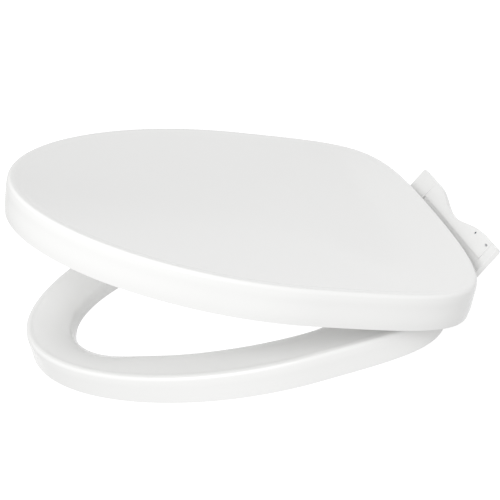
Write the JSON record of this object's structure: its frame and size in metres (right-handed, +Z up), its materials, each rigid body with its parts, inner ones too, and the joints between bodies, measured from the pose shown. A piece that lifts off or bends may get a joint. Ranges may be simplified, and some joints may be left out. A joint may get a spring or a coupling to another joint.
{
  "type": "electric bidet seat",
  "caption": "Slim electric bidet toilet seat: dished wrap-over lid, heated seat ring, flat hinge base with sliding spray nozzle.",
  "frame": {"origin": "on the deck of the toilet bowl, straight below the hinge axis, in the middle of the seat", "axes": "+Z up from the deck, -Y to the front of the seat, +X to the right of the seat as seen from its front"},
  "size_m": [0.3816, 0.3646, 0.3854],
  "materials": {
    "white_gloss": "glossy moulded plastic",
    "white_matte": "satin moulded plastic",
    "grey_plastic": "satin",
    "dark_plastic": "satin",
    "gear_plastic": "acetal",
    "blue_plastic": "moulded case",
    "circuit_board": "solder mask",
    "yellow_tape": "insulating tape",
    "dark_lens": "smoked lens",
    "clear_tube": "translucent tube",
    "heater_foil": "foil heating element",
    "steel": "brushed",
    "polished_steel": "polished",
    "brass": "machined",
    "rubber": "matte"
  },
  "bodies": {
    "base": {"base_cover": "white_gloss", "hinge_cover_left": "white_gloss", "hinge_cover_right": "white_gloss", "base_tray": "white_matte", "mounting_plate": "steel", "status_lens": "dark_lens", "hinge_bracket": "steel", "bracket_screw_1": "steel", "bracket_screw_2": "steel", "bracket_screw_3": "steel", "bracket_screw_4": "steel", "seat_damper": "white_matte", "lid_damper": "white_matte", "nozzle_motor": "steel", "nozzle_guide": "grey_plastic", "solenoid_valve": "white_matte", "water_heater": "steel", "feed_tube": "clear_tube", "nozzle_hose": "clear_tube", "inlet_connector": "brass", "inlet_gasket": "rubber", "control_board": "circuit_board", "transformer": "yellow_tape", "heater_relay": "blue_plastic", "cable_gland": "grey_plastic"},
    "seat": {"seat_upper_shell": "white_gloss", "seat_lower_shell": "white_matte", "seat_heater": "heater_foil", "seat_thermostat": "dark_plastic", "seat_bumper_front_left": "rubber", "seat_bumper_front_right": "rubber", "seat_bumper_rear_left": "rubber", "seat_bumper_rear_right": "rubber", "seat_hinge_left": "white_matte", "seat_hinge_right": "white_matte", "seat_damper_shaft": "steel"},
    "lid": {"lid_shell": "white_gloss", "lid_bumper_front_left": "rubber", "lid_bumper_front_right": "rubber", "lid_bumper_rear_left": "rubber", "lid_bumper_rear_right": "rubber", "lid_hinge_left": "white_matte", "lid_hinge_right": "white_matte", "lid_damper_shaft": "steel"},
    "nozzle": {"nozzle_wand": "white_matte", "nozzle_tip": "polished_steel"},
    "gear": {"drive_gear": "gear_plastic"},
    "release": {"release_button": "grey_plastic"},
    "mode": {"mode_button": "grey_plastic"}
  },
  "joints": [
    {"name": "seat_hinge", "type": "hinge", "parent": "base", "child": "seat", "pos_m": [0, 0, 0.0325], "axis": [-1, 0, 0], "range_deg": [-38, 57]},
    {"name": "lid_hinge", "type": "hinge", "parent": "seat", "child": "lid", "pos_m": [0, 0, 0.0325], "axis": [1, 0, 0], "range_deg": [-70.7, 21.3]},
    {"name": "nozzle_slide", "type": "slide", "parent": "base", "child": "nozzle", "axis": [0, -1, 0], "range_m": [0, 0.042]},
    {"name": "gear_spin", "type": "hinge", "parent": "base", "child": "gear", "pos_m": [0.0122, -0.078, 0.0116], "axis": [0, 0, 1], "range_deg": [0, 344]},
    {"name": "release_press", "type": "slide", "parent": "base", "child": "release", "axis": [-1, 0, 0], "range_m": [0, 0.002], "stiffness_N_per_m": 800},
    {"name": "mode_press", "type": "slide", "parent": "base", "child": "mode", "axis": [0, 0, -1], "range_m": [0, 0.0006], "stiffness_N_per_m": 500}
  ],
  "couplings": [
    {"joint": "gear_spin", "follows": "nozzle_slide", "rad_per_m": 142.86}
  ]
}
